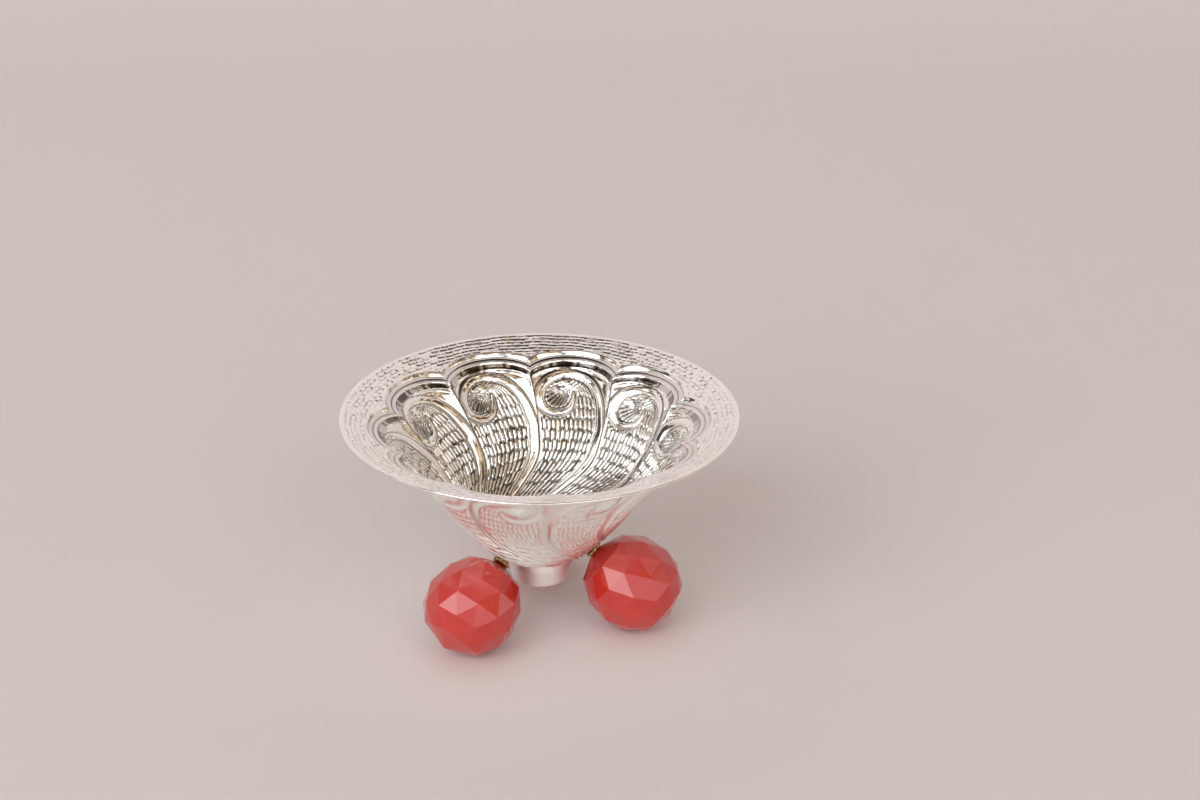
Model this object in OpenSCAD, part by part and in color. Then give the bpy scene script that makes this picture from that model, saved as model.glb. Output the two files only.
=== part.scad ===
// Offering bowl: a lobed bowl raised from one silver sheet, carried on three faceted balls.
// The rim stands level, the origin is on the table under the centre of the bowl.
// Bearings are degrees clockwise from +Y, seen from above.

/* [Bowl] */
// Diameter of the rim
bowl_d = 160; // [130:1:200]
// Height of the rim above the table
bowl_h = 92.5; // [85:0.5:110]
// Thickness of the sheet
sheet_t = 1; // [0.8:0.1:1.4]
// Radius of the flat floor inside the bowl
floor_r = 13; // [9:0.5:16]
// Height of the sheet's underside at the floor
floor_h = 30.5; // [26:0.5:32]
// Fall of the rim flange towards the middle, in degrees
flange_fall = 15.5; // [8:0.5:22]

/* [Lobes] */
// Number of lobes round the bowl
lobe_count = 10; // [6:1:14]
// Bearing of the first ridge between two lobes, at the waist of its curve
lobe_bearing = -1.3; // [-18:0.1:18]
// Turn of the ridges from the waist down to the floor, in degrees
swirl_low = 61; // [0:1:90]
// Turn of the ridges from the waist up to the mouldings, in degrees
swirl_high = 3.9; // [0:0.1:12]
// Radius of the inner moulding where two lobes meet
cusp_r = 57.6; // [52:0.2:62]
// How far a lobe's arch reaches past its cusps, at the inner moulding
arch_rise = 7.2; // [3:0.2:9]
// How far the outer moulding's arch reaches past its cusps
outer_arch_rise = 5.6; // [2:0.2:7]
// Width of the plain band between the two steps
band_w = 4.2; // [2.5:0.1:6]
// Width of the outer step
step_w = 2.4; // [1.5:0.1:4]
// Depth of the outer step
step_h = 1.3; // [0.6:0.1:2]
// Width of the cove under the band
cove_w = 1.4; // [1:0.1:2.5]
// Depth of the cove under the band
cove_h = 1.3; // [0.6:0.1:2.5]
// Radius of the round boss at the head of each lobe
boss_r = 6; // [4:0.2:8]
// How far each boss stands out of the lobe
boss_h = 1.4; // [0:0.1:2]

/* [Foot cup] */
// Radius of the foot cup at the bowl
cup_top_r = 13.6; // [10:0.1:16]
// Radius of the foot cup's flat underside
cup_base_r = 10.6; // [6:0.1:12]
// Depth of the foot cup
cup_h = 11.2; // [6:0.1:14]
// Thickness of the cup's wall
cup_t = 1; // [0.6:0.1:2]
// Radius of the cup's lower edge
cup_edge_r = 1.5; // [0.5:0.1:2]

/* [Balls] */
// Diameter of a ball across opposite corners of its widest row of facets
ball_d = 39; // [34:0.5:43]
// Bearings of the front left, the front right and the rear ball
ball_bearings = [224, 101, -5]; // [-180:0.5:360]
// Corners in each row of facets
ball_sides = 12; // [10:2:16]
// Angle between two rows of facets, seen from the middle of the ball
row_angle = 25; // [22:0.5:27]
// How far the drilled end reaches from the middle of the ball
pole_reach = 22.3; // [21.9:0.1:23.4]
// Distance from the middle of the ball to the flat ground round its hole
pole_flat = 21.5; // [20.6:0.1:21.8]
// Depth of the drilled hole
hole_depth = 12; // [8:0.5:16]

/* [Mounting] */
// Diameter of a mounting post
post_d = 3; // [2:0.1:4]
// Radial clearance of the post in the ball and in the collar
post_gap = 0.1; // [0.05:0.05:0.3]
// Space between the post's end and the bottom of its hole
post_end_gap = 0.5; // [0.2:0.1:2]
// Space left for solder between the post and the bowl's wall
solder_gap = 0.1; // [0.05:0.05:0.3]
// Outer radius of a collar
collar_r = 3.7; // [3:0.1:4.4]
// Thickness of a collar
collar_t = 1.5; // [1:0.1:2]
// Grooves round a collar's edge
reed_count = 12; // [8:1:14]
// Radius of the tool that cuts a groove
reed_r = 0.6; // [0.3:0.05:0.8]

/* [Hidden] */
$fn = 48;

rim_r = bowl_d / 2;
ball_r = ball_d / 2;
lobe_angle = 360 / lobe_count;

// Radial section of the wall under a ridge: a curve that leaves the floor level
// and climbs to the cove, with its two middle control points as shares of its run
wall_foot = [floor_r, floor_h + sheet_t];
wall_head = [cusp_r - cove_w, flange_z(cusp_r - cove_w) - step_h - cove_h];
lead_out_share = 0.24;
lift_in_shares = [0.58, 0.476];

// The waist of the ridge's curve, as a share of the wall's height
waist_share = 0.514;
// How the lobes swell: slowly from the floor, fastest at the mouldings
swell_power = 3.8;
// A cusp's sharpness and its arch's fullness
arch_power = 2.2;
arch_fullness = 0.8;

// Grid of the sheet: rows up the wall, rows over the flange, columns across a lobe
wall_row_shares = [0, 0.13, 0.25, 0.36, 0.46, 0.55, 0.63, 0.7, 0.77, 0.83, 0.88, 0.925, 0.965, 1];
flange_row_shares = [0.36, 0.72];
column_shares = [0, 0.04, 0.11, 0.2, 0.29, 0.38, 0.48, 0.58, 0.69, 0.8, 0.89, 0.96];

// Place of a boss in its lobe: share of the lobe's width, and of the wall's curve
boss_across_share = 0.29;
boss_up_share = 0.89;

function polar(r, bearing, z) = [r * sin(bearing), r * cos(bearing), z];

// The flange is a shallow cone that falls from the rim towards the middle
function flange_z(r) = bowl_h - (rim_r - r) * tan(flange_fall);

// A lobe's arch: 0 on both ridges, 1 in the middle
function arch(u) = pow(1 - pow(abs(2 * u - 1), arch_power), arch_fullness);

function bezier(a, b, c, d, t) =
    pow(1 - t, 3) * a + 3 * pow(1 - t, 2) * t * b + 3 * (1 - t) * t * t * c + pow(t, 3) * d;

wall_run = wall_head - wall_foot;
wall_lead = wall_foot + [lead_out_share * wall_run[0], 0];
wall_lift = wall_foot + [lift_in_shares[0] * wall_run[0], lift_in_shares[1] * wall_run[1]];

function wall_section(t) = bezier(wall_foot, wall_lead, wall_lift, wall_head, t);

// Bearing of a ridge at a share of the wall's height: it turns one way below the
// waist and the same way above it, so that the lobe reads as a curled leaf
function ridge_turn(h) =
    h < waist_share
        ? -swirl_low * pow((waist_share - h) / waist_share, 2)
        : -swirl_high * pow((h - waist_share) / (1 - waist_share), 1.5);

function wall_height_share(t) = (wall_section(t)[1] - wall_foot[1]) / wall_run[1];

// Radius and height of the lobed wall, before the boss is raised on it
function lobed_wall(t, u) =
    let (p = wall_section(t),
         swell = pow(t, swell_power) * arch(u),
         head_fall = flange_z(cusp_r + arch_rise) - flange_z(cusp_r))
    [p[0] + arch_rise * swell, p[1] + head_fall * swell];

function wall_point(t, u) =
    let (p = lobed_wall(t, u))
    polar(p[0], lobe_bearing + ridge_turn(wall_height_share(t)) + u * lobe_angle, p[1]);

boss_centre = wall_point(boss_up_share, boss_across_share);

// The boss swells out of the wall within its radius, round like a cushion
function boss_swell(p) =
    let (d = norm(p - boss_centre) / boss_r)
    d < 1 ? boss_h * pow(cos(90 * d), 2) : 0;

function bossed_point(t, u) =
    let (p = wall_point(t, u), b = boss_swell(p), r = norm([p[0], p[1]]))
    [p[0] * (1 + b / r), p[1] * (1 + b / r), p[2]];

// The mouldings outside the wall: inner edge of the plain band, its outer edge,
// the top of the step, then the flange out to the rim
band_in_r = cusp_r;
band_out_r = band_in_r + band_w;
step_top_r = band_out_r + step_w;
mid_arch_rise = (arch_rise + outer_arch_rise) / 2;

function moulding_point(r0, rise, drop, u) =
    let (r = r0 + rise * arch(u))
    polar(r, lobe_bearing - swirl_high + u * lobe_angle, flange_z(r) - drop);

function flange_point(share, u) =
    let (inner = step_top_r + outer_arch_rise * arch(u),
         r = inner + share * (rim_r - sheet_t / 2 - inner))
    polar(r, lobe_bearing - swirl_high + u * lobe_angle, flange_z(r));

// One lobe's column of points on the upper face, from the floor to the rim
function face_column(u) = concat(
    [for (t = wall_row_shares) bossed_point(t, u)],
    [moulding_point(band_in_r, arch_rise, step_h, u),
     moulding_point(band_out_r, mid_arch_rise, step_h, u),
     moulding_point(step_top_r, outer_arch_rise, 0, u)],
    [for (s = flange_row_shares) flange_point(s, u)],
    [flange_point(1, u)]);

row_count = len(face_column(0));
column_count = lobe_count * len(column_shares);

function turned(p, a) =
    [p[0] * cos(a) + p[1] * sin(a), p[1] * cos(a) - p[0] * sin(a), p[2]];

// Upper face as a grid: columns round the bowl, rows from the floor to the rim
lobe_columns = [for (u = column_shares) face_column(u)];
face_grid = [for (k = [0:lobe_count - 1], column = lobe_columns)
    [for (p = column) turned(p, k * lobe_angle)]];

function unit(v) = v / norm(v);

// The sheet's outward normal at a grid point, from its neighbours
function sheet_normal(c, r) =
    let (left = face_grid[(c + column_count - 1) % column_count][r],
         right = face_grid[(c + 1) % column_count][r],
         low = face_grid[c][max(r - 1, 0)],
         high = face_grid[c][min(r + 1, row_count - 1)])
    unit(cross(high - low, right - left));

// Lower face: each point of the upper face moved through the sheet's thickness.
// Its floor row is level, and its rim row stays inside the rounded edge.
function under_point(c, r) =
    r == 0 ? face_grid[c][r] - [0, 0, sheet_t]
           : face_grid[c][r] + sheet_t * sheet_normal(c, r);

under_grid = [for (c = [0:column_count - 1]) [for (r = [0:row_count - 1]) under_point(c, r)]];

// The rounded edge of the rim
function edge_point(c) =
    let (p = (face_grid[c][row_count - 1] + under_grid[c][row_count - 1]) / 2,
         r = norm([p[0], p[1]]))
    [p[0] * rim_r / r, p[1] * rim_r / r, p[2]];

// The whole skin of the sheet as rings: up the inside, over the edge, back under
skin_rings = concat(
    [for (r = [0:row_count - 1]) [for (c = [0:column_count - 1]) face_grid[c][r]]],
    [[for (c = [0:column_count - 1]) edge_point(c)]],
    [for (r = [row_count - 1:-1:0]) [for (c = [0:column_count - 1]) under_grid[c][r]]]);
ring_count = len(skin_rings);

function ring_faces(r, n) = [for (c = [0:n - 1])
    let (a = r * n + c, b = r * n + (c + 1) % n, d = a + n, e = b + n)
    each [[a, d, b], [b, d, e]]];

module bowl_shell() {
    n = column_count;
    first = ring_count * n;
    points = concat([for (ring = skin_rings) each ring],
                    [[0, 0, floor_h + sheet_t], [0, 0, floor_h]]);
    sides = [for (r = [0:ring_count - 2]) each ring_faces(r, n)];
    well = [for (c = [0:n - 1]) [first, c, (c + 1) % n]];
    underside = [for (c = [0:n - 1])
        [first + 1, first - n + (c + 1) % n, first - n + c]];
    color("silver")
        polyhedron(points = points, faces = concat(sides, well, underside), convexity = 12);
}

// The plain cup under the floor, open at the top where it is soldered to the bowl.
// It drops almost straight from the bowl, then tapers to its rounded edge.
cup_shoulder_shares = [0.98, 0.35];

function cup_wall(inset) =
    [[cup_top_r - inset, floor_h],
     [cup_shoulder_shares[0] * cup_top_r - inset, floor_h - cup_shoulder_shares[1] * cup_h],
     [cup_base_r + cup_edge_r - inset, floor_h - cup_h + cup_edge_r]];

function cup_edge(inset) = [for (a = [0:15:90])
    [cup_base_r - inset + cup_edge_r * cos(a), floor_h - cup_h + cup_edge_r - cup_edge_r * sin(a)]];

module foot_cup() {
    color("gainsboro") difference() {
        rotate_extrude($fn = 96)
            polygon(concat([[0, floor_h]], cup_wall(0), cup_edge(0), [[0, floor_h - cup_h]]));
        translate([0, 0, cup_t])
            rotate_extrude($fn = 96)
                polygon(concat([[0, floor_h]], cup_wall(cup_t), cup_edge(cup_t),
                               [[0, floor_h - cup_h]]));
    }
}

// Facets of a ball: rows of corners round the drilled axis, each row turned by
// half a corner, with one corner at each end. The half towards the bowl is longer.
row_latitudes = [-2, -1, 0, 1, 2] * row_angle;
pole_stretch = pole_reach / ball_r;

function ball_corner(latitude, k) =
    let (a = (k + (round(latitude / row_angle) % 2 == 0 ? 0.5 : 0)) * 360 / ball_sides,
         z = ball_r * sin(latitude))
    [ball_r * cos(latitude) * cos(a), ball_r * cos(latitude) * sin(a),
     z > 0 ? z * pole_stretch : z];

// The facet that rests on the table: two corners of the lowest row and one of the
// row above it. Its tilt sets the slope of the drilled axis and its distance from
// the middle sets the height of the ball's centre.
rest_mid = [cos(2 * row_angle) * cos(180 / ball_sides), -sin(2 * row_angle)];
rest_tip = [cos(row_angle), -sin(row_angle)];
rest_edge = rest_tip - rest_mid;
drill_slope = atan2(rest_edge[0], rest_edge[1]);
ball_h = ball_r * (rest_tip[0] * sin(drill_slope + 90) + rest_tip[1] * cos(drill_slope + 90));

// The underside of the wall, and the wall's direction there
function wall_direction(t) =
    let (e = 1e-3)
    unit(wall_section(t + e) - wall_section(t - e));

function under_wall(t) =
    let (d = wall_direction(t))
    wall_section(t) + sheet_t * [d[1], -d[0]];

// Halves the span until the wall's underside is at the given height
function under_wall_share(h, low, high, steps) =
    let (mid = (low + high) / 2)
    steps == 0 ? mid
               : under_wall(mid)[1] < h ? under_wall_share(h, mid, high, steps - 1)
                                        : under_wall_share(h, low, mid, steps - 1);

function seat_share(reach) =
    under_wall_share(ball_h + reach * sin(drill_slope), 0.02, 0.9, 24);

// How far the wall leans from square to the drilled axis where the axis meets it
function seat_lean(reach) =
    let (d = wall_direction(seat_share(reach)))
    abs(atan2(d[0], d[1]) - drill_slope);

collar_edge_r = collar_t / 2;
collar_flat_r = collar_r - collar_edge_r;
collar_top = pole_flat + collar_t + solder_gap;

// Halves the span until the edge of the collar just clears the leaning wall
function clear_reach(low, high, steps) =
    let (mid = (low + high) / 2)
    steps == 0 ? mid
               : mid < collar_top + collar_flat_r * tan(seat_lean(mid))
                   ? clear_reach(mid, high, steps - 1)
                   : clear_reach(low, mid, steps - 1);

// Where the drilled axis meets the underside of the wall
axis_reach = clear_reach(collar_top, collar_top + 2 * collar_flat_r, 24);
seat_r = under_wall(seat_share(axis_reach))[0];
ball_ring_r = seat_r + axis_reach * cos(drill_slope);

// The post stops under the wall, as its edge meets the lean before its middle does
post_lift = solder_gap + post_d / 2 * tan(seat_lean(axis_reach));

// Puts its children at a ball's middle, with +Z along the drilled axis to the bowl
module at_ball(i) {
    translate(polar(ball_ring_r, ball_bearings[i], ball_h))
        rotate([0, 0, -ball_bearings[i] - 90])
            rotate([0, 90 - drill_slope, 0])
                children();
}

hole_r = post_d / 2 + post_gap;

module faceted_ball() {
    rows = [for (latitude = row_latitudes)
        [for (k = [0:ball_sides - 1]) ball_corner(latitude, k)]];
    n = ball_sides;
    last = len(rows) * n;
    points = concat([for (row = rows) each row], [[0, 0, -ball_r], [0, 0, pole_reach]]);
    bands = [for (r = [0:len(rows) - 2], k = [0:n - 1])
        let (a = r * n + k, b = r * n + (k + 1) % n, d = a + n, e = b + n)
        each (r % 2 == 0 ? [[a, d, e], [a, e, b]] : [[a, d, b], [b, d, e]])];
    low_end = [for (k = [0:n - 1]) [last, k, (k + 1) % n]];
    high_end = [for (k = [0:n - 1]) [last + 1, last - n + (k + 1) % n, last - n + k]];
    polyhedron(points = points, faces = concat(bands, low_end, high_end), convexity = 4);
}

module ball(i) {
    color("firebrick") at_ball(i) difference() {
        faceted_ball();
        translate([0, 0, pole_flat])
            cylinder(r = ball_r, h = ball_r);
        translate([0, 0, pole_flat - hole_depth])
            cylinder(r = hole_r, h = hole_depth + ball_r);
    }
}

module post(i) {
    color("silver") at_ball(i)
        translate([0, 0, pole_flat - hole_depth + post_end_gap])
            cylinder(d = post_d, h = axis_reach - post_lift - pole_flat + hole_depth - post_end_gap);
}

// A turned brass ring with a rounded, reeded edge, between the ball and the bowl
module collar(i) {
    color("goldenrod") at_ball(i) translate([0, 0, pole_flat]) difference() {
        rotate_extrude() {
            square([collar_flat_r, collar_t]);
            translate([collar_flat_r, collar_edge_r])
                circle(r = collar_edge_r);
        }
        for (k = [0:reed_count - 1])
            rotate([0, 0, k * 360 / reed_count])
                translate([collar_r + reed_r / 2, 0, -collar_t])
                    cylinder(r = reed_r, h = 3 * collar_t, $fn = 24);
        translate([0, 0, -collar_t])
            cylinder(r = hole_r, h = 3 * collar_t);
    }
}

module ball_front_left() { ball(0); }
module ball_front_right() { ball(1); }
module ball_rear() { ball(2); }
module post_front_left() { post(0); }
module post_front_right() { post(1); }
module post_rear() { post(2); }
module collar_front_left() { collar(0); }
module collar_front_right() { collar(1); }
module collar_rear() { collar(2); }

bowl_shell();
foot_cup();
ball_front_left();
ball_front_right();
ball_rear();
post_front_left();
post_front_right();
post_rear();
collar_front_left();
collar_front_right();
collar_rear();
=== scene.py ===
from math import cos, pi, radians, sin, tan

import bpy
import numpy as np
from mathutils import Matrix, Vector


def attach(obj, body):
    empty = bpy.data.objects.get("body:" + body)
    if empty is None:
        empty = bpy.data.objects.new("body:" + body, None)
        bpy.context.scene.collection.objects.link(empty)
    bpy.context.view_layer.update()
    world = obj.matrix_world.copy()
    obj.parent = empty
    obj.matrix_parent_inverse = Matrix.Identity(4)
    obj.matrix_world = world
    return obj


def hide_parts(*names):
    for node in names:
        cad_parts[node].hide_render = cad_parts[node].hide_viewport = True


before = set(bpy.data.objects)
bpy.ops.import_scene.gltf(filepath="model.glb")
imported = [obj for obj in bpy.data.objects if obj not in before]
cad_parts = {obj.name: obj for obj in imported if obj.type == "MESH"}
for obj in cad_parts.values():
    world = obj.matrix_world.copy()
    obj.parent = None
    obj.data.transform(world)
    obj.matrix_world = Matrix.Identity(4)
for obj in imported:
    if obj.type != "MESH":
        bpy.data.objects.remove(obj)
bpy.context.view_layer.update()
mm = 0.001


# Bowl shell. The real piece is one sheet of silver, raised to a flared bowl with ten swirled lobes. A stepped
# moulding arches over each lobe, and the broad flange falls inwards a little from the rim. All of it is chased:
# a plain rib rolls over into a scroll on each lobe, round rows of short strokes laid side by side.
lobes, first_bearing = 10, -1.3
lobe_span = 360 / lobes
rim_r, rim_z, sheet = 79.93, 92.48, 1.0
floor_r, floor_z = 13.0, 31.5
flange_fall = 15.5
cusp_r, arch_rise, band_arch_rise, step_arch_rise = 57.6, 7.2, 6.4, 5.6
arch_square, arch_full = 2.2, 0.8
band_w, step_w, step_h, cove_w, cove_h = 4.2, 2.4, 1.3, 1.4, 1.3
foot_pull, head_pull, head_lift = 0.24, 0.58, 0.476
swirl_low, swirl_high, waist, bend_low, bend_high = 61.0, 3.9, 0.514, 2, 1.5
swell_up = 3.8


def flange_level(r):
    return rim_z - (rim_r - r) * tan(radians(flange_fall))


def arch(across):
    return np.clip(1 - np.abs(2 * across - 1) ** arch_square, 0, 1) ** arch_full


wall_foot = np.array([floor_r, floor_z])
wall_head = np.array([cusp_r - cove_w, flange_level(cusp_r - cove_w) - step_h - cove_h])
wall_run = wall_head - wall_foot
wall_lead = wall_foot + [foot_pull * wall_run[0], 0]
wall_lift = wall_foot + [head_pull * wall_run[0], head_lift * wall_run[1]]
arch_lift = arch_rise * tan(radians(flange_fall))


def wall_section(up):
    up = np.asarray(up, float)[..., None]
    return ((1 - up) ** 3 * wall_foot + 3 * (1 - up) ** 2 * up * wall_lead
            + 3 * (1 - up) * up * up * wall_lift + up ** 3 * wall_head)


def ridge_turn(height):
    low = -swirl_low * (np.clip(waist - height, 0, 1) / waist) ** bend_low
    high = -swirl_high * (np.clip(height - waist, 0, 1) / (1 - waist)) ** bend_high
    return np.where(height < waist, low, high)


def turned(r, z, bearing):
    return np.stack([r * np.sin(bearing), r * np.cos(bearing), z], -1)


def lobed_wall(up, across):
    section = wall_section(up)
    swell = np.asarray(up, float) ** swell_up * arch(across)
    height = (section[..., 1] - wall_foot[1]) / wall_run[1]
    bearing = np.radians(first_bearing + ridge_turn(height) + across * lobe_span)
    return turned(section[..., 0] + arch_rise * swell, section[..., 1] + arch_lift * swell, bearing)


def moulding(across, r, rise, drop):
    bearing = np.radians(first_bearing - swirl_high + across * lobe_span)
    r = r + rise * arch(across)
    return turned(r, flange_level(r) - drop, bearing)


def shares(rows):
    return np.linspace(0, 1, rows + 1)[1:]


def soft_step(x, low, high):
    x = np.clip((x - low) / (high - low), 0, 1)
    return x * x * (3 - 2 * x)


def incised(distance, depth, width):
    return -depth * np.exp(-(distance / width) ** 2)


def unit(v):
    return v / np.maximum(np.linalg.norm(v, axis=-1, keepdims=True), 1e-12)


# The sheet is laid out on a fine net: columns across one lobe, and rows from the floor up the wall, over the
# cove, the plain band, the step and the flange, and round the rim's edge.
columns = 156
wall_rows, cove_rows, band_rows, step_rows, flange_rows = 200, 7, 12, 9, 42
cove_row = wall_rows + cove_rows
band_row = cove_row + band_rows
step_row = band_row + step_rows
flange_row = step_row + flange_rows
across_line = np.linspace(0, 1, columns + 1)
up_line = np.linspace(0, 1, wall_rows + 1)
across_net, up_net = np.meshgrid(across_line, up_line)
wall_net = lobed_wall(up_net, across_net)

# Each lobe is dished where its scroll's eye comes.
dish_r, dish_depth, dish_up, dish_across = 6.0, 1.4, 0.89, 0.29
dish_at = lobed_wall(np.array(dish_up), np.array(dish_across))
dish_gap = np.linalg.norm(wall_net - dish_at, axis=-1)
dish = np.where(dish_gap < dish_r, dish_depth * np.cos(np.clip(dish_gap / dish_r, 0, 1) * pi / 2) ** 2, 0)
wall_out = np.hypot(wall_net[..., 0], wall_net[..., 1])
wall_net[..., 0] *= 1 + dish / wall_out
wall_net[..., 1] *= 1 + dish / wall_out

cove_round, cove_fall, step_round = 1.3, 0.8, 0.9
rim_turns, rim_inset = np.radians([30, 55, 75]), 0.12
upper_rows = []
for share in shares(cove_rows):
    r = cusp_r - cove_w * (1 - sin(share * pi / 2) ** cove_round)
    upper_rows.append(moulding(across_line, r, arch_rise, step_h + cove_h * (1 - share) ** cove_fall))
for share in shares(band_rows):
    rise = arch_rise + (band_arch_rise - arch_rise) * share
    upper_rows.append(moulding(across_line, cusp_r + band_w * share, rise, step_h))
for share in shares(step_rows):
    rise = band_arch_rise + (step_arch_rise - band_arch_rise) * share
    drop = step_h * (1 - sin(share * pi / 2) ** step_round)
    upper_rows.append(moulding(across_line, cusp_r + band_w + step_w * share, rise, drop))
step_edge = cusp_r + band_w + step_w
flange_end = rim_r - sheet / 2
flange_bearing = np.radians(first_bearing - swirl_high + across_line * lobe_span)
for share in shares(flange_rows):
    r = step_edge + step_arch_rise * arch(across_line)
    r = r + (flange_end - r) * share
    upper_rows.append(turned(r, flange_level(r), flange_bearing))
for rim_turn in rim_turns:
    out, down = sheet / 2 * sin(rim_turn), sheet / 2 * (1 - cos(rim_turn))
    r = np.full_like(across_line, flange_end - rim_inset + out)
    upper_rows.append(turned(r, flange_level(r) - down, flange_bearing))
face_net = np.concatenate([wall_net, np.array(upper_rows)])
rows = face_net.shape[0] - 1


def spun(points, turns):
    angle = radians(lobe_span * turns)
    cosine, sine = cos(angle), sin(angle)
    return np.stack([points[..., 0] * cosine + points[..., 1] * sine,
                     points[..., 1] * cosine - points[..., 0] * sine, points[..., 2]], -1)


def net_normals(net):
    wide = np.concatenate([spun(net[:, -2:-1], -1), net, spun(net[:, 1:2], 1)], 1)
    across = wide[:, 2:] - wide[:, :-2]
    along = np.gradient(net, axis=0)
    return unit(np.cross(across, along))


def softened(height):
    wide = np.concatenate([height[:, -3:-1], height, height[:, 1:3]], 1)
    height = (wide[:, :-4] + 2 * wide[:, 1:-3] + 3 * wide[:, 2:-2] + 2 * wide[:, 3:-1] + wide[:, 4:]) / 9
    tall = np.concatenate([height[:1], height[:1], height, height[-1:], height[-1:]])
    return (tall[:-4] + 2 * tall[1:-3] + 3 * tall[2:-2] + 2 * tall[3:-1] + tall[4:]) / 9


# The scroll's rib, laid on a flat chart of the lobe in millimetres: up beside the ridge, over the top, down
# the left and round under the eye to end at its right side.
rib_half_w, rib_h, rib_inset, full_rib_r, rib_taper, thin_rib_w = 1.9, 0.5, 1.85, 40, 0.85, 1.6
rib_square, rib_full, tail_taper = 3, 0.7, 0.8
beside_ridge, station_rows, top_stations, tail_stations = 0.76, 6, 9, 5.5
section_steps = np.linalg.norm(np.diff(wall_section(up_line), axis=0), axis=1)
section_length = np.concatenate([[0], np.cumsum(section_steps)])
wall_length = section_length[-1]
swell_net = arch_rise * up_net ** swell_up * arch(across_net)
chart_r = wall_section(up_net)[..., 0] + swell_net
chart_x = (across_net - 0.5) * radians(lobe_span) * chart_r
chart_y = (section_length[:, None] - wall_length) + swell_net
lobe_w = radians(lobe_span) * chart_r
rib_scale = np.clip((wall_section(up_line)[:, 0] / full_rib_r) ** rib_taper, 0.2, 1)
rib_rows = slice(0, int(wall_rows * beside_ridge), station_rows)
rib_foot_r = wall_section(up_line)[rib_rows, 0]
rib_foot_y = section_length[rib_rows] - wall_length
rib_foot_x = (radians(lobe_span) / 2 * rib_foot_r) - rib_inset * rib_scale[rib_rows]
scroll = np.array([(12.43, -20.44), (12.21, -14.99), (11.7, -9.52), (10.55, -5.18), (8.3, -1.1), (4.6, 1.9),
                   (0.47, 3.3), (-3.35, 3.7), (-7.03, 2.9), (-10.56, 0.8), (-13.0, -2.26), (-14.2, -5.95),
                   (-14.3, -9.2), (-13.3, -11.9), (-11.2, -13.9), (-8.4, -14.75), (-5.5, -14.2),
                   (-3.1, -12.5), (-1.65, -10.1), (-1.0, -7.8), (-0.75, -5.9), (-0.8, -4.6)])
rib_points = np.concatenate([np.stack([rib_foot_x, rib_foot_y], 1), scroll])


def smooth_line(points, per_span):
    ends = np.concatenate([[2 * points[0] - points[1]], points, [2 * points[-1] - points[-2]]])
    share = np.linspace(0, 1, per_span, endpoint=False)[:, None]
    line = []
    for a, b, c, d in zip(ends[:-3], ends[1:-2], ends[2:-1], ends[3:]):
        line.append(0.5 * (2 * b + (c - a) * share + (2 * a - 5 * b + 4 * c - d) * share ** 2
                           + (3 * b - a - 3 * c + d) * share ** 3))
    return np.concatenate(line + [points[-1:]])


line_steps = 16
rib_line = smooth_line(rib_points, line_steps)
rib_run = np.gradient(rib_line, axis=0)
chart = np.stack([chart_x, chart_y], -1).reshape(-1, 2)
nearest = np.concatenate([((part[:, None] - rib_line[None]) ** 2).sum(2).argmin(1)
                          for part in np.array_split(chart, 40)])
reach = chart - rib_line[nearest]
rib_side = np.sign(rib_run[nearest, 0] * reach[:, 1] - rib_run[nearest, 1] * reach[:, 0])
rib_side = rib_side.reshape(chart_x.shape)
rib_gap = np.linalg.norm(reach, axis=1).reshape(chart_x.shape)
rib_share = (nearest / len(rib_line)).reshape(chart_x.shape)
stations = len(rib_points) - 1
scroll_start = len(rib_foot_x) / stations
past_top = (len(rib_foot_x) + top_stations) / stations
tail_share = tail_stations / stations
scale_net = rib_scale[:, None] * np.ones_like(across_net)
tail = np.clip((rib_share - (1 - tail_share)) / tail_share, 0, 1)
rib_w = rib_half_w * scale_net * (1 - tail_taper * tail)
rib_crown = np.clip(1 - (rib_gap / rib_w) ** rib_square, 0, 1) ** rib_full
rib = rib_h * rib_crown * np.clip(rib_w / thin_rib_w, 0, 1)
ridge_gap = np.minimum(across_net, 1 - across_net) * lobe_w

# Lines are cut along both sides of the rib, a second one beside it on the strokes' side, one along the ridge
# between two lobes and one beside the ridge.
line_off, second_off = 0.12, 0.85
rib_edge = rib_gap - rib_w - line_off
second_line = rib_gap - rib_w - second_off * scale_net
left_line = across_net * lobe_w - second_off * scale_net
relief_wall = rib + incised(rib_edge, 0.16, 0.26 * scale_net + 0.06)
relief_wall += incised(second_line, 0.12, 0.2 * scale_net + 0.06) * (rib_side > 0) * (tail < 0.3)
relief_wall += incised(ridge_gap, 0.2, 0.3 * scale_net + 0.05)
relief_wall += incised(left_line, 0.14, 0.22 * scale_net + 0.05)


# The strokes. Each is a short raised grain with a groove round it, as a lining punch leaves them, and each
# row is struck beside the last, a little out of step.
def hand(row, stroke, salt):
    return (np.sin(row * 12.9898 + stroke * 78.233 + salt * 37.719) * 43758.5453) % 1.0


def finger(across, to_end, roundness):
    blunt = np.clip(1 - to_end / roundness, 0, 2)
    return np.clip(1 - ((2 * across - 1) / stroke_w) ** 2 - blunt ** 2, 0, 1) ** stroke_full


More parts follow.
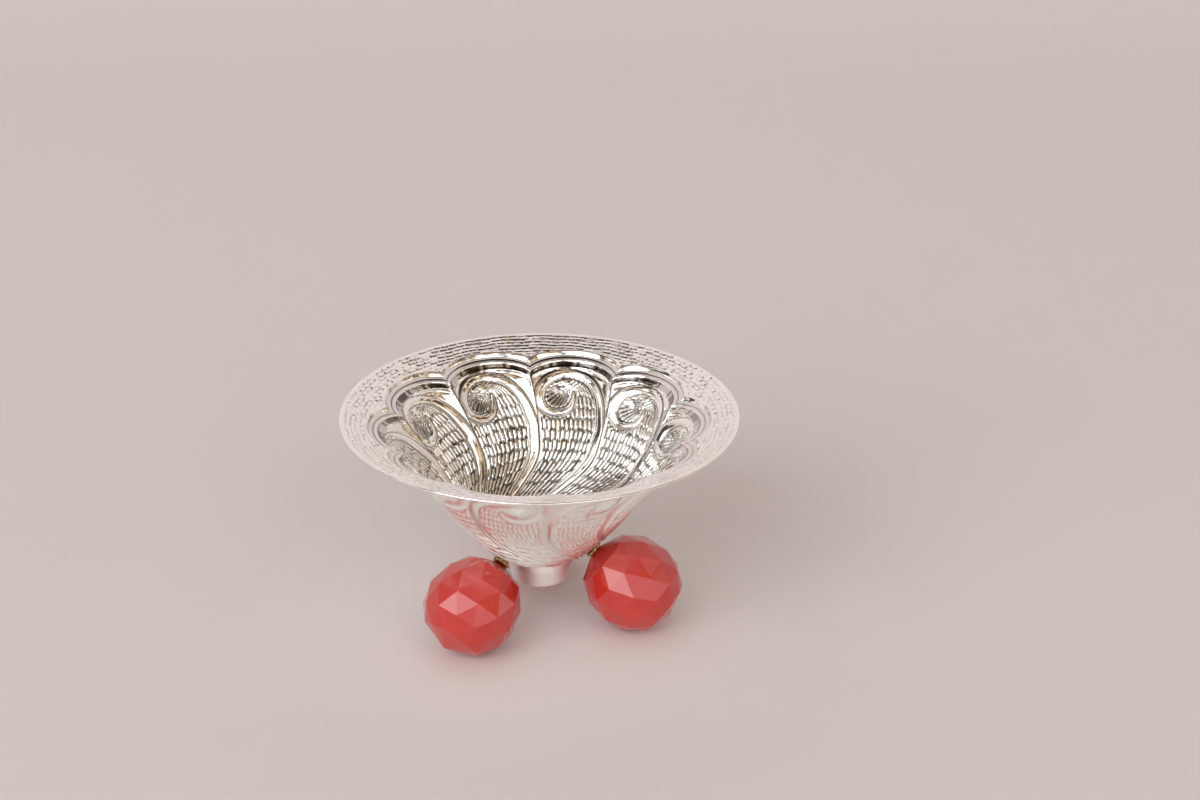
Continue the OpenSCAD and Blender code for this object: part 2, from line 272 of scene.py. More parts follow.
row_pitch, stroke_pitch, stroke_h, first_row, fewest = 4.3, 1.95, 0.6, 0.35, 3
stroke_w, stroke_full, face_round, back_round = 0.86, 0.6, 0.95, 2.2
right_margin, left_margin, scroll_margin = 2.6, 1.05, 2.5
row_bow, row_tilt, long_wave, short_wave = 0.9, 0.8, 0.36, 0.26
bunching, stagger, out_of_step, overlap, end_play = 0.1, 0.5, 0.4, 0.1, 0.17
low_stroke, uneven_h, lean, highest = 0.8, 0.35, 0.7, 1.1
right_rib = 1 - (rib_inset + right_margin) * rib_scale[rib_rows] / (radians(lobe_span) * rib_foot_r)
right_rib = np.interp(up_net[:, 0], up_line[rib_rows], right_rib)
border = smooth_line(scroll[:7], line_steps)
border_y, border_x = border[:, 1], border[:, 0]
order = np.argsort(border_y)
high_edge_x = np.interp(chart_y, border_y[order], border_x[order] - scroll_margin)
low_edge_x = right_rib[:, None] * lobe_w - lobe_w / 2
right_edge_x = np.where(chart_y > scroll[0, 1], high_edge_x, low_edge_x)
left_edge_x = -lobe_w / 2 + left_margin * scale_net
field_share = (chart_x - left_edge_x) / np.maximum(right_edge_x - left_edge_x, 0.1)
row_rise = row_bow * np.sin(field_share * pi) - row_tilt * (field_share - 0.5)
row_rise += long_wave * np.sin(1.7 * chart_x + 0.4 * section_length[:, None])
row_rise += short_wave * np.sin(3.3 * chart_x - 0.5 * section_length[:, None])
row_at = (section_length[:, None] + row_rise) / row_pitch + first_row
row = np.floor(row_at)
mid_up = np.interp((row + 0.5 - first_row) * row_pitch, section_length, up_line)
row_w = np.interp(mid_up, up_line, (right_edge_x - left_edge_x)[:, columns // 2])
stroke_count = np.maximum(np.round(row_w / stroke_pitch), fewest)
stroke_at = field_share * stroke_count
stroke_at = stroke_at + bunching * np.sin(field_share * 7 + row * 2.1)
stroke_at = stroke_at + stagger * (row % 2) + out_of_step * hand(row, 0, 6)
stroke = np.floor(stroke_at)
struck_low = end_play * hand(row, stroke, 1) - overlap
struck_high = 1 + overlap - end_play * hand(row, stroke, 7)
to_end = np.minimum(row_at - row - struck_low, struck_high - (row_at - row)) * row_pitch
across_stroke = stroke_at - stroke
field = finger(across_stroke, to_end, face_round) * (low_stroke + uneven_h * hand(row, stroke, 2))
field *= 1 + lean * (hand(row, stroke, 9) - 0.5) * (across_stroke - 0.5)
field_behind = finger(across_stroke, to_end, back_round)

# Round the scroll's tip the strokes run on in long curves, and in the dished eye they fan out from the tip.
tip_x, tip_y, eye_x, eye_y = -1.1, -4.3, -7.7, -8.05
long_stroke_count, scroll_w, narrow_from, narrow_to = 6.6, 2.5, 70, 300
fan_stroke_turn, fan_curl, fan_h, endless = 9.5, 1.6, 0.8, 9
eye_r, hollow_r, hollow_depth, hollow_full = 5.5, 5.6, 0.7, 0.8
tip_side, under_y, outside_y = -4, -8, -12


def forward_turn(y, x):
    turn = np.degrees(np.arctan2(y, x)) % 360
    return np.where(turn > 330, turn - 360, turn)


head_x, head_y = chart_x - tip_x, chart_y - tip_y
head_turn = forward_turn(head_y, head_x)
head_out = np.hypot(head_x, head_y)
fine_steps = 24
scroll_line = smooth_line(scroll, fine_steps)[fine_steps:]
inner_run = unit(np.gradient(scroll_line, axis=0))
inner_edge = scroll_line - (tip_x, tip_y) + scroll_w * np.stack([-inner_run[:, 1], inner_run[:, 0]], 1)
before_tail = slice(0, int(len(inner_edge) * 0.8))
inner_edge = inner_edge[before_tail]
edge_turn = forward_turn(inner_edge[:, 1], inner_edge[:, 0])
edge_out = np.hypot(inner_edge[:, 0], inner_edge[:, 1])
edge_order = np.argsort(edge_turn)
border_out = np.interp(head_turn, edge_turn[edge_order], edge_out[edge_order])
narrowed = np.where(head_turn > narrow_from, (narrow_to - head_turn) / (narrow_to - narrow_from), 1)
flow = head_out / np.maximum(border_out, 0.5) * np.clip(narrowed, 0.02, 1)
long_strokes = finger((flow * long_stroke_count) % 1, endless, 1)
eye_gap = np.hypot(chart_x - eye_x, chart_y - eye_y)
fan_at = (head_turn - fan_curl * head_out) / fan_stroke_turn
fan_strokes = finger(fan_at % 1, endless, 1) * soft_step(head_out, 1.2, 3.2)
in_eye = soft_step(eye_r - eye_gap, -0.2, 0.5)
head = (1 - in_eye) * long_strokes * soft_step(head_out, 0.3, 1.4) + in_eye * fan_strokes * fan_h
inside_scroll = (rib_side > 0) & (rib_share > scroll_start - 0.02)
past_tip = (rib_side < 0) & (rib_share > past_top) & (chart_x > tip_side)
in_head = np.maximum(soft_step(head_y + 0.25 * head_x, -0.8, 0.8), in_eye) * (inside_scroll | past_tip)

# The strokes keep clear of the rib and the ridge, and the eye is hollowed a little.
under_scroll = (rib_side < 0) & (rib_share > past_top) & ((chart_y < under_y) | (chart_x > tip_side))
clear_rib = soft_step(rib_gap - rib_w, 0.75 - 0.6 * in_eye, 1.25 - 0.6 * in_eye)
in_field = ((rib_side > 0) | under_scroll) * clear_rib * soft_step(across_net * lobe_w, 0.85, 1.3)
stroke_scale = np.clip(scale_net * 1.15, 0.35, 1)
field = np.clip(field, 0, highest)
strokes = in_head * head + (1 - in_head) * field
relief_wall += stroke_h * stroke_scale * in_field * strokes
behind_wall = stroke_h * stroke_scale * in_field * (1 - in_head) * (field_behind - field)
relief_wall -= hollow_depth * np.clip(1 - (eye_gap / hollow_r) ** 2, 0, 1) ** hollow_full

# Tarnish stays in the grooves: round the strokes, in the eye, beside the rib and along the ridge.
tarnished_eye, tarnished_rib, tarnish_w = 0.42, 0.8, 0.3
grooves = in_field * np.clip(1.35 - 1.9 * strokes, 0, 1) * (0.6 + 0.45 * hand(row, stroke, 5))
grooves = np.maximum(grooves, tarnished_eye * in_eye * inside_scroll * clear_rib)
grooves = np.maximum(grooves, np.exp(-(rib_edge / tarnish_w) ** 2) * tarnished_rib)
grooves = np.maximum(grooves, np.exp(-(ridge_gap / (tarnish_w * scale_net + 0.1)) ** 2))

# Between the scroll and the cove: a hollow, then a wavy bead.
bead_h, bead_at, bead_half_w, bead_waves, wave_h = 0.45, 0.85, 0.8, 11, 0.16
trough_depth, trough_at, trough_w = 0.3, 2.5, 0.9
head_gap = np.linalg.norm(wall_net - wall_net[-1:], axis=-1)
off_ridge = soft_step(ridge_gap, 0.5, 2.2)
outside = soft_step(rib_gap - rib_w, 0.1, 0.6) * ((rib_side < 0) & (chart_y > outside_y))
wave = 1 + wave_h * np.sin(across_net * 2 * pi * bead_waves)
bead = bead_h * wave * np.sqrt(np.clip(1 - ((head_gap - bead_at) / bead_half_w) ** 2, 0, 1))
trough = -trough_depth * np.exp(-((head_gap - trough_at) / trough_w) ** 2)
relief_wall += (bead + trough * outside) * off_ridge

# The flange's strokes lie round the bowl in rings, like bricks.
ring_pitch, brick, brick_h, ring_start, rim_margin = 1.95, 3.9, 0.3, 0.7, 0.6
ring_sway, ring_play, brick_play, brick_round, low_brick, uneven_brick = 0.08, 0.24, 0.4, 0.7, 0.35, 0.95
relief = np.zeros(face_net.shape[:2])
relief[:wall_rows + 1] = relief_wall
flange_r = np.hypot(face_net[..., 0], face_net[..., 1])
row_no = np.arange(rows + 1)[:, None] * np.ones((1, columns + 1))
ring_at = (rim_r - ring_start - flange_r) / ring_pitch
ring_at = ring_at + ring_sway * np.sin(np.linspace(0, 2 * pi, columns + 1) * 3)[None]
ring = np.floor(ring_at)
ring_count = np.round(radians(lobe_span) * (rim_r - ring_start - (ring + 0.5) * ring_pitch) / brick)
brick_at = across_line[None] * ring_count + ring * 0.5 + hand(ring, 0, 3) * brick_play
brick_no = np.floor(brick_at) % np.maximum(ring_count, 1)
brick_along = (brick_at - np.floor(brick_at)) * brick
across_ring = ring_at - ring + ring_play * (hand(ring, brick_no, 10) - 0.5)
bricks = finger(across_ring, np.minimum(brick_along, brick - brick_along), brick_round)
bricks = bricks * (low_brick + uneven_brick * hand(ring, brick_no, 4))
step_gap = flange_r - (step_edge + step_arch_rise * arch(across_line))[None]
on_flange = (row_no >= step_row) * soft_step(step_gap, -0.2, 0.4)
on_flange = on_flange * soft_step(rim_r - rim_margin - flange_r, 0, 1.3)
relief += brick_h * on_flange * bricks

# A line is cut along the middle of the plain band, its edge and the shoulder above it are rounded up, and the
# planishing hammer leaves the shoulder slightly rippled.
band_line_rise, band_line_depth, band_line_w = 6.8, 0.22, 0.32
band_edge_h, band_edge_w, shoulder_h, shoulder_w, ripple_h, plain_rows = 0.16, 0.5, 0.3, 1.0, 0.035, 4
band_gap = flange_r - (cusp_r + band_w * 0.5 + band_line_rise * arch(across_line))[None]
on_band = (row_no > cove_row) & (row_no < band_row)
above_band = row_no > band_row
relief += incised(band_gap, band_line_depth, band_line_w) * on_band
shoulder_gap = flange_r - (step_edge - 0.7 + step_arch_rise * arch(across_line))[None]
relief += shoulder_h * np.exp(-(shoulder_gap / shoulder_w) ** 2) * above_band
edge_gap = flange_r - (cusp_r + 0.35 + arch_rise * arch(across_line))[None]
on_edge = (row_no > wall_rows + 2) & (row_no < band_row)
relief += band_edge_h * np.exp(-(edge_gap / band_edge_w) ** 2) * on_edge
ripple = ripple_h * np.sin(shoulder_gap * 5.2 + 1.1 * np.sin(across_line * 2 * pi * 3)[None])
relief += ripple * np.exp(-((shoulder_gap + 0.3) / 1.7) ** 2) * above_band
relief[:plain_rows] *= np.linspace(0, 1, plain_rows)[:, None]
relief[:, -1] = relief[:, 0] = (relief[:, 0] + relief[:, -1]) / 2

# Above the wall the tarnish lies between the bricks, unevenly in the cove, thinly on the band and in its line.
# The dark smudges on the shoulder are painted shade, which breaks up the softbox's white reflection there.
brick_tarnish, cove_tarnish, band_tarnish, line_tarnish, shoulder_painted_shade = 0.65, 0.6, 0.22, 0.7, 0.5
patina_and_painted_shade = np.zeros_like(relief)
patina_and_painted_shade[:wall_rows + 1] = grooves
patina_and_painted_shade += brick_tarnish * on_flange * np.clip(1 - 1.8 * bricks, 0, 1) * hand(ring, brick_no, 8) ** 1.6
uneven = np.sin(across_line * 2 * pi * 6 + 2.2 * np.sin(across_line * 2 * pi * 4))
patina_and_painted_shade[wall_rows - 1:cove_row - 1] += cove_tarnish + 0.25 * uneven
patina_and_painted_shade += band_tarnish * on_band
# Painted shade: dark smudges along the shoulder break up the softbox's white reflection there.
painted_shade_smudge = np.sin(across_line * 2 * pi * 3 + 0.8) + 0.6 * np.sin(across_line * 2 * pi * 7)
painted_shade_smudge = np.clip(painted_shade_smudge, 0, 1)[None]
patina_and_painted_shade += shoulder_painted_shade * painted_shade_smudge * np.exp(-((shoulder_gap + 0.4) / 0.55) ** 2) * above_band
patina_and_painted_shade += line_tarnish * np.exp(-(band_gap / tarnish_w) ** 2) * on_band

# The relief is struck into the sheet. Its back shows the same work, softer, and the rim's edge is rounded.
back_share = 1.6
base_normal = net_normals(face_net)
inner_net = face_net + base_normal * relief[..., None]
behind = relief.copy()
behind[:wall_rows + 1] += behind_wall
under_relief = back_share * softened(behind)
under_net = face_net - base_normal * (sheet - under_relief[..., None])
for edge_row, rim_turn in enumerate(rim_turns, flange_row + 1):
    mid = inner_net[flange_row] - base_normal[flange_row] * sheet / 2
    out = unit(inner_net[flange_row] - inner_net[flange_row - 2])
    side = base_normal[flange_row]
    lift = sheet / 2 * cos(rim_turn)
    push = sheet / 2 * sin(rim_turn)
    inner_net[edge_row] = mid + out * push + side * lift
    under_net[edge_row] = mid + out * push - side * lift
inner_normal = net_normals(inner_net)
under_normal = -net_normals(under_net)

# One lobe is a grid, shaped on the net and given its thickness. The others are copies of it, turned on.
bpy.ops.object.select_all(action="DESELECT")
bpy.ops.mesh.primitive_grid_add(x_subdivisions=columns, y_subdivisions=rows, size=1)
lobe = bpy.context.object
lobe.name = "bowl_lobe_01"
flat = np.empty(len(lobe.data.vertices) * 3)
lobe.data.vertices.foreach_get("co", flat)
flat = flat.reshape(-1, 3)
column_no = np.rint((flat[:, 0] + 0.5) * columns).astype(int)
row_index = np.rint((flat[:, 1] + 0.5) * rows).astype(int)
lobe.data.vertices.foreach_set("co", (inner_net[row_index, column_no] * mm).ravel())
lobe.data.update()
chased_silver = bpy.data.materials.new("silver_chased_face")
satin_silver = bpy.data.materials.new("silver_satin_back")
lobe.data.materials.append(chased_silver)
lobe.data.materials.append(satin_silver)
thickness = lobe.modifiers.new("sheet", "SOLIDIFY")
thickness.thickness = sheet * mm
thickness.offset = -1
thickness.material_offset = 1
bpy.ops.object.modifier_apply(modifier="sheet")
face_points = len(row_index)
solid = np.empty(len(lobe.data.vertices) * 3)
lobe.data.vertices.foreach_get("co", solid)
solid = solid.reshape(-1, 3)
solid[face_points:2 * face_points] = under_net[row_index, column_no] * mm
lobe.data.vertices.foreach_set("co", solid.ravel())
lobe.data.update()
bpy.ops.object.shade_smooth()
# The grooves attribute carries the patina and the painted shade on the shoulder.
patina_and_painted_shade = np.concatenate([np.clip(patina_and_painted_shade, 0, 1)[row_index, column_no], np.zeros(len(solid) - face_points)])
groove_layer = lobe.data.attributes.new("grooves", "FLOAT", "POINT")
groove_layer.data.foreach_set("value", patina_and_painted_shade)
sheet_normals = np.concatenate([inner_normal[row_index, column_no], under_normal[row_index, column_no]])


# Every finish on the object starts from a cloud that follows the piece, for its colour and its polish.
def clouded(finish, scale, detail, distortion=0):
    finish.use_nodes = True
    nodes, links = finish.node_tree.nodes, finish.node_tree.links
    place = nodes.new("ShaderNodeTexCoord")
    cloud = nodes.new("ShaderNodeTexNoise")
    cloud.inputs["Scale"].default_value = scale
    cloud.inputs["Detail"].default_value = detail
    cloud.inputs["Distortion"].default_value = distortion
    links.new(place.outputs["Object"], cloud.inputs["Vector"])
    return nodes, links, nodes["Principled BSDF"], place, cloud


def polished(nodes, links, skin, cloud, polish, worn, clear=0, dull=1):
    rub = nodes.new("ShaderNodeMapRange")
    rub.inputs["From Min"].default_value = clear
    rub.inputs["From Max"].default_value = dull
    rub.inputs["To Min"].default_value = polish
    rub.inputs["To Max"].default_value = worn
    links.new(cloud.outputs["Fac"], rub.inputs["Value"])
    links.new(rub.outputs["Result"], skin.inputs["Roughness"])


def silver(finish, tone, shade, polish, worn, beaten):
    nodes, links, skin, place, cloud = clouded(finish, scale=55, detail=4)
    skin.inputs["Metallic"].default_value = 1.0
    tint = nodes.new("ShaderNodeMix")
    tint.data_type = "RGBA"
    tint.inputs["A"].default_value = (*tone, 1)
    tint.inputs["B"].default_value = (*shade, 1)
    links.new(cloud.outputs["Fac"], tint.inputs["Factor"])
    polished(nodes, links, skin, cloud, polish, worn, clear=0.3, dull=0.7)
    marks = nodes.new("ShaderNodeTexNoise")
    marks.inputs["Scale"].default_value = 300
    marks.inputs["Detail"].default_value = 2
    links.new(place.outputs["Object"], marks.inputs["Vector"])
    bump = nodes.new("ShaderNodeBump")
    bump.inputs["Strength"].default_value = beaten
    bump.inputs["Distance"].default_value = 0.0003
    links.new(marks.outputs["Fac"], bump.inputs["Height"])
    links.new(bump.outputs["Normal"], skin.inputs["Normal"])
    links.new(tint.outputs["Result"], skin.inputs["Base Color"])
    return nodes, links, skin, place, tint


nodes, links, skin, place, tint = silver(chased_silver, tone=(0.96, 0.945, 0.925), shade=(0.93, 0.905, 0.875),
                                         polish=0.07, worn=0.14, beaten=0.22)
in_grooves = nodes.new("ShaderNodeAttribute")
in_grooves.attribute_name = "grooves"

# Painted shade: the tarnish in the grooves is deepened towards the far left of the bowl, where the silver
# mirrors the dark parts of the room, and lightened towards the near side.
far_side = nodes.new("ShaderNodeVectorMath")
far_side.operation = "DOT_PRODUCT"
far_side.inputs[1].default_value = (-4, 12, 0)
links.new(place.outputs["Object"], far_side.inputs[0])
far_left_painted_shade = nodes.new("ShaderNodeMapRange")
far_left_painted_shade.inputs["From Min"].default_value = -0.4
far_left_painted_shade.inputs["From Max"].default_value = 0.7
far_left_painted_shade.inputs["To Min"].default_value = 0.62
far_left_painted_shade.inputs["To Max"].default_value = 1.2
links.new(far_side.outputs["Value"], far_left_painted_shade.inputs["Value"])
darker = nodes.new("ShaderNodeMath")
darker.operation = "MULTIPLY"
darker.use_clamp = True
links.new(in_grooves.outputs["Fac"], darker.inputs[0])
links.new(far_left_painted_shade.outputs["Result"], darker.inputs[1])
# The patina's colour. Where it is deepened on the far side and smudged on the shoulder, it is painted shade.
patina_and_painted_shade_mix = nodes.new("ShaderNodeMix")
patina_and_painted_shade_mix.data_type = "RGBA"
patina_and_painted_shade_mix.inputs["B"].default_value = (0.085, 0.066, 0.052, 1)
links.new(darker.outputs["Value"], patina_and_painted_shade_mix.inputs["Factor"])
links.new(tint.outputs["Result"], patina_and_painted_shade_mix.inputs["A"])
links.new(patina_and_painted_shade_mix.outputs["Result"], skin.inputs["Base Color"])
silver(satin_silver, tone=(0.95, 0.965, 0.93), shade=(0.92, 0.935, 0.895), polish=0.34, worn=0.42, beaten=0.1)

bowl = [lobe]
for k in range(1, lobes):
    copy = lobe.copy()
    copy.data = lobe.data.copy()
    copy.name = f"bowl_lobe_{k + 1:02d}"
    copy.data.name = copy.name
    bpy.context.collection.objects.link(copy)
    copy.data.transform(Matrix.Rotation(-radians(lobe_span * k), 4, "Z"))
    bowl.append(copy)
for k, piece in enumerate(bowl):
    piece.data.normals_split_custom_set_from_vertices(spun(sheet_normals, k).tolist())
    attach(piece, "root")
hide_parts("bowl_shell")


# The shell's floor. It is the middle of the same sheet, left plain inside two incised rings, where the lobes'
# ribs run out.
ring_rs, ring_depth, ring_w = (11.65, 9.2), 0.16, 0.3
crown_r, crown_h = 9, 0.25
ring_steps = (0.5, 0.5, 0.35, 0.35, 0.5, 0.8, 0.35, 0.35, 1.2, 2.2, 2.6)
bpy.ops.object.select_all(action="DESELECT")
bpy.ops.mesh.primitive_circle_add(vertices=120, radius=floor_r * mm, fill_type="NGON",
                                  location=(0, 0, floor_z * mm))
floor_disc = bpy.context.object
floor_disc.name = "bowl_floor"
bpy.ops.object.transform_apply(location=True)
bpy.ops.object.mode_set(mode="EDIT")
bpy.ops.mesh.select_all(action="SELECT")
for step in ring_steps:
    bpy.ops.mesh.inset(thickness=step * mm)
bpy.ops.mesh.poke()
bpy.ops.object.mode_set(mode="OBJECT")
for v in floor_disc.data.vertices:
    r = v.co.xy.length / mm
    v.co.z -= mm * sum(ring_depth * np.exp(-((r - ring_r) / ring_w) ** 2) for ring_r in ring_rs)
    v.co.z += mm * crown_h * max(0, 1 - (r / crown_r) ** 2)
thickness = floor_disc.modifiers.new("sheet", "SOLIDIFY")
thickness.thickness = sheet * mm
thickness.offset = -1
bpy.ops.object.modifier_apply(modifier="sheet")
bpy.ops.object.shade_smooth_by_angle(angle=radians(60))
floor_disc.data.materials.append(chased_silver)
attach(floor_disc, "root")
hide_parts("bowl_shell")


# Foot cup. A small plain cup of the same silver, turned smooth and soldered under the floor. It hangs clear of
# the table between the balls.
plain_silver = bpy.data.materials.new("silver_plain_cup")
silver(plain_silver, tone=(0.98, 0.965, 0.95), shade=(0.95, 0.93, 0.91), polish=0.5, worn=0.58, beaten=0.08)
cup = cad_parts["foot_cup"]
cup.data.materials.clear()
cup.data.materials.append(plain_silver)


# Posts. Three plain silver pins hold the balls. The upper end of each is soldered to the underside of the wall,
# and the lower end is cemented into the ball's drilled hole.
feet = ("front_left", "front_right", "rear")
for foot in feet:
    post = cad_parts["post_" + foot]
    post.data.materials.clear()
    post.data.materials.append(plain_silver)


# Collars. A small reeded ring of brass sits on each post between ball and bowl. It is cast, and its brass is
# clouded dark and light at random.
brass = bpy.data.materials.new("brass")
nodes, links, skin, place, cloud = clouded(brass, scale=900, detail=4)
skin.inputs["Metallic"].default_value = 1.0
tint = nodes.new("ShaderNodeValToRGB")
tint.color_ramp.elements[0].position = 0.35
tint.color_ramp.elements[0].color = (0.2, 0.11, 0.045, 1)
tint.color_ramp.elements[1].position = 0.6
tint.color_ramp.elements[1].color = (0.5, 0.33, 0.15, 1)
links.new(cloud.outputs["Fac"], tint.inputs["Fac"])
links.new(tint.outputs["Color"], skin.inputs["Base Color"])
polished(nodes, links, skin, cloud, polish=0.22, worn=0.45)
for foot in feet:
    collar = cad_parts["collar_" + foot]
    collar.data.materials.clear()
    collar.data.materials.append(brass)


# Balls. Three coral-red beads of a clouded translucent stone, cut with triangular facets in rows round the
# drilled hole and polished. The cutter has taken the sharpness off each facet's edge.
worn_edge, facet_angle = 0.22, 6
coral = bpy.data.materials.new("coral_stone")
nodes, links, skin, place, cloud = clouded(coral, scale=60, detail=5, distortion=1.2)
tint = nodes.new("ShaderNodeValToRGB")
tint.color_ramp.elements[0].position = 0.3
tint.color_ramp.elements[0].color = (0.46, 0.02, 0.015, 1)
tint.color_ramp.elements[1].position = 0.72
tint.color_ramp.elements[1].color = (0.52, 0.033, 0.024, 1)
links.new(cloud.outputs["Fac"], tint.inputs["Fac"])
links.new(tint.outputs["Color"], skin.inputs["Base Color"])
skin.inputs["Subsurface Weight"].default_value = 0.35
skin.inputs["Subsurface Radius"].default_value = (1.0, 0.15, 0.1)
skin.inputs["Subsurface Scale"].default_value = 0.006
skin.inputs["IOR"].default_value = 1.6
skin.inputs["Coat Weight"].default_value = 0.35
polished(nodes, links, skin, cloud, polish=0.05, worn=0.14)
for foot in feet:
    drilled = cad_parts["ball_" + foot]
    ball = drilled.copy()
    ball.data = drilled.data.copy()
    ball.name = "faceted_ball_" + foot
    ball.data.name = ball.name
    bpy.context.collection.objects.link(ball)
    bpy.ops.object.select_all(action="DESELECT")
    ball.select_set(True)
    bpy.context.view_layer.objects.active = ball
    bpy.ops.object.mode_set(mode="EDIT")
    bpy.ops.mesh.select_all(action="SELECT")
    bpy.ops.mesh.remove_doubles(threshold=0.000002)
    bpy.ops.mesh.dissolve_limited(angle_limit=radians(1))
    bpy.ops.object.mode_set(mode="OBJECT")
    edge = ball.modifiers.new("worn edges", "BEVEL")
    edge.width = worn_edge * mm
    edge.segments = 2
    edge.limit_method = "ANGLE"
    edge.angle_limit = radians(facet_angle)
    bpy.ops.object.modifier_apply(modifier="worn edges")
    bpy.ops.object.shade_flat()
    ball.data.materials.clear()
    ball.data.materials.append(coral)
    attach(ball, "root")
    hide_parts("ball_" + foot)


# Table and backdrop. One seamless sheet of pale paper lies flat under the bowl and curves up behind it. Its
# sizes are in metres.
sweep_w, sweep_l, near_by, bend_start, bend_r, backdrop_h = 16, 3.9, 1.25, 0.7, 1.0, 2.4
bpy.ops.object.select_all(action="DESELECT")
bpy.ops.mesh.primitive_plane_add(size=1, location=(0, 0, 0))
sweep = bpy.context.object
sweep.name = "seamless_sweep"
sweep.scale = (sweep_w, sweep_l, 1)
bpy.ops.object.transform_apply(scale=True)
for v in sweep.data.vertices:
    v.co.y -= near_by
bpy.ops.object.mode_set(mode="EDIT")
bpy.ops.mesh.select_mode(type="EDGE")
bpy.ops.mesh.select_all(action="DESELECT")
bpy.ops.object.mode_set(mode="OBJECT")
for e in sweep.data.edges:
    e.select = all(sweep.data.vertices[v].co.y > 0 for v in e.vertices)
bpy.ops.object.mode_set(mode="EDIT")
bpy.ops.mesh.spin(steps=24, angle=-radians(90), center=(0, bend_start, bend_r), axis=(1, 0, 0))
bpy.ops.mesh.extrude_edges_move(TRANSFORM_OT_translate={"value": (0, 0, backdrop_h)})
bpy.ops.object.mode_set(mode="OBJECT")
bpy.ops.object.shade_smooth()
paper = bpy.data.materials.new("pale_paper")
nodes, links, skin, place, cloud = clouded(paper, scale=1.6, detail=2)
tint = nodes.new("ShaderNodeMix")
tint.data_type = "RGBA"
tint.inputs["A"].default_value = (0.752, 0.704, 0.703, 1)
tint.inputs["B"].default_value = (0.742, 0.704, 0.707, 1)
links.new(cloud.outputs["Fac"], tint.inputs["Factor"])
links.new(tint.outputs["Result"], skin.inputs["Base Color"])
skin.inputs["Roughness"].default_value = 0.7
skin.inputs["Specular IOR Level"].default_value = 0.2
sweep.data.materials.append(paper)


# Light. Two large, dim softboxes stand well off to the front left and front right, and the pale walls of the
# room fill in the rest.
bowl_middle = Vector((0, 0, 0.05))


def softbox(name, place, size, watts):
    lamp = bpy.data.lights.new(name, "AREA")
    lamp.shape = "SQUARE"
    lamp.size = size
    lamp.energy = watts
    lamp.color = (0.96, 0.98, 1)
    thing = bpy.data.objects.new(name, lamp)
    bpy.context.collection.objects.link(thing)
    thing.location = place
    aim = bowl_middle - Vector(place)
    thing.rotation_euler = aim.to_track_quat("-Z", "Y").to_euler()


softbox("softbox_left", place=(-2.1, -3.1, 1.95), size=3.7, watts=109)
softbox("softbox_right", place=(1.5, -3.3, 1.9), size=3.1, watts=38)

# The room, which the silver mirrors. Its walls are pale with ragged dark and wooden patches, and shelves with
# golden things on them stand to the right. It is dark behind the camera and overhead, and pale low down.
world = bpy.data.worlds.new("studio")
bpy.context.scene.world = world
world.use_nodes = True
nodes, links = world.node_tree.nodes, world.node_tree.links
sky = nodes["Background"]
place = nodes.new("ShaderNodeTexCoord")


def ragged_patches(scale):
    ragged = nodes.new("ShaderNodeTexNoise")
    ragged.inputs["Scale"].default_value = scale
    ragged.inputs["Detail"].default_value = 2
    links.new(place.outputs["Generated"], ragged.inputs["Vector"])
    return ragged.outputs["Fac"]


def share_towards(towards, low, high, ragged):
    facing = nodes.new("ShaderNodeVectorMath")
    facing.operation = "DOT_PRODUCT"
    facing.inputs[1].default_value = Vector(towards).normalized()
    links.new(place.outputs["Generated"], facing.inputs[0])
    torn = nodes.new("ShaderNodeMath")
    torn.operation = "MULTIPLY_ADD"
    torn.inputs[1].default_value = ragged
    links.new(patches, torn.inputs[0])
    links.new(facing.outputs["Value"], torn.inputs[2])
    share = nodes.new("ShaderNodeMapRange")
    share.interpolation_type = "SMOOTHSTEP"
    share.inputs["From Min"].default_value = low + ragged / 2
    share.inputs["From Max"].default_value = high + ragged / 2
    links.new(torn.outputs["Value"], share.inputs["Value"])
    return share.outputs["Result"]


def over(below, share, tone):
    layer = nodes.new("ShaderNodeMix")
    layer.data_type = "RGBA"
    links.new(below, layer.inputs["A"])
    if isinstance(tone, tuple):
        layer.inputs["B"].default_value = tone
    else:
        links.new(tone, layer.inputs["B"])
    links.new(share, layer.inputs["Factor"])
    return layer.outputs["Result"]


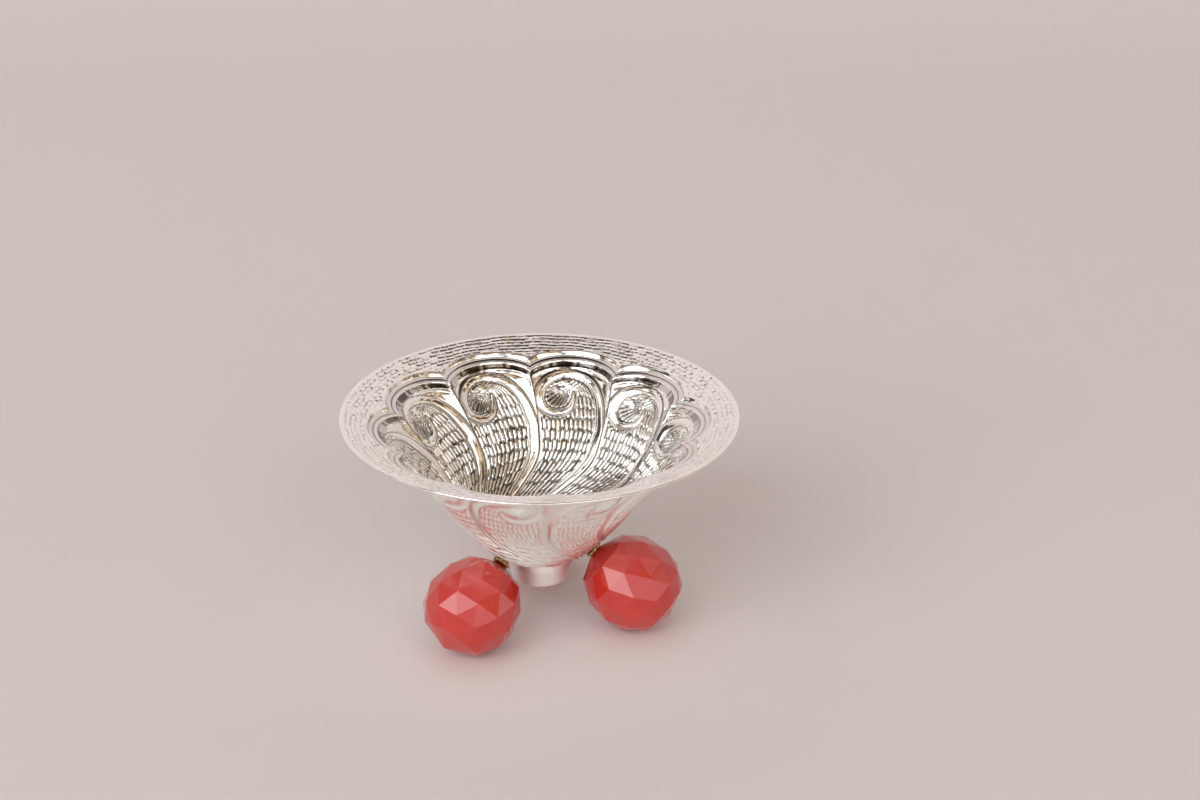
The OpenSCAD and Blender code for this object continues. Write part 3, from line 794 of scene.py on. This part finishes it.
patches = ragged_patches(4.2)
shelves = nodes.new("ShaderNodeValToRGB")
shadow, old_gold, bright_gold = (0.04, 0.038, 0.037, 1), (0.6, 0.36, 0.16, 1), (0.75, 0.52, 0.28, 1)
lit_wall = (1.15, 1.06, 0.95, 1)
for spot, tone in ((0.45, shadow), (0.5, old_gold), (0.55, bright_gold), (0.6, lit_wall)):
    shelf = shelves.color_ramp.elements.new(spot)
    shelf.color = tone
shelves.color_ramp.elements[0].color = shadow
shelves.color_ramp.elements[-1].color = (1.15, 1.08, 1.0, 1)
links.new(ragged_patches(9), shelves.inputs["Fac"])
walls = nodes.new("ShaderNodeValToRGB")
walls.color_ramp.elements[0].position = 0.46
walls.color_ramp.elements[0].color = (0.05, 0.046, 0.044, 1)
walls.color_ramp.elements[1].position = 0.56
walls.color_ramp.elements[1].color = (1.2, 1.16, 1.12, 1)
wood = walls.color_ramp.elements.new(0.505)
wood.color = (0.45, 0.31, 0.2, 1)
links.new(patches, walls.inputs["Fac"])
to_right = share_towards((0.75, -0.3, 0.6), low=0.35, high=0.6, ragged=0.5)
room = over(walls.outputs["Color"], to_right, shelves.outputs["Color"])
behind_camera = share_towards((0, -0.9, 0.42), low=0.9, high=0.97, ragged=0.25)
room = over(room, behind_camera, (0.04, 0.037, 0.036, 1))
overhead = share_towards((0.1, 0.25, 1), low=0.84, high=0.95, ragged=0.5)
room = over(room, overhead, (0.045, 0.04, 0.038, 1))
low_down = share_towards((0, 0, -1), low=-0.3, high=-0.14, ragged=0.1)
room = over(room, low_down, (1.3, 1.25, 1.2, 1))
links.new(room, sky.inputs["Color"])
sky.inputs["Strength"].default_value = 1.0


# Camera. It stands over a metre off and looks down on the bowl, as the photographer did, through a long lens.
# Its aim and focal length come from the rim's ellipse, the front balls and the foot.
tilt, roll = radians(24.87), radians(0.24)
aim_right, aim_up, distance = -24.49, -88.86, 1170.4
focal_pixels, picture_w, sensor_w = 2833, 1200, 36
ahead = Vector((0, cos(tilt), -sin(tilt)))
upright = Vector((0, sin(tilt), cos(tilt)))
level = Vector((1, 0, 0))
right = cos(roll) * level + sin(roll) * upright
top = -sin(roll) * level + cos(roll) * upright
stand = -(aim_right * mm * right + aim_up * mm * top + distance * mm * ahead)
camera_data = bpy.data.cameras.new("camera")
camera_data.sensor_width = sensor_w
camera_data.lens = focal_pixels / picture_w * sensor_w
camera = bpy.data.objects.new("camera", camera_data)
bpy.context.collection.objects.link(camera)
turned_to = Matrix((right, top, -ahead)).transposed().to_4x4()
camera.matrix_world = Matrix.Translation(stand) @ turned_to
bpy.context.scene.camera = camera
bpy.context.scene.view_settings.view_transform = "Standard"
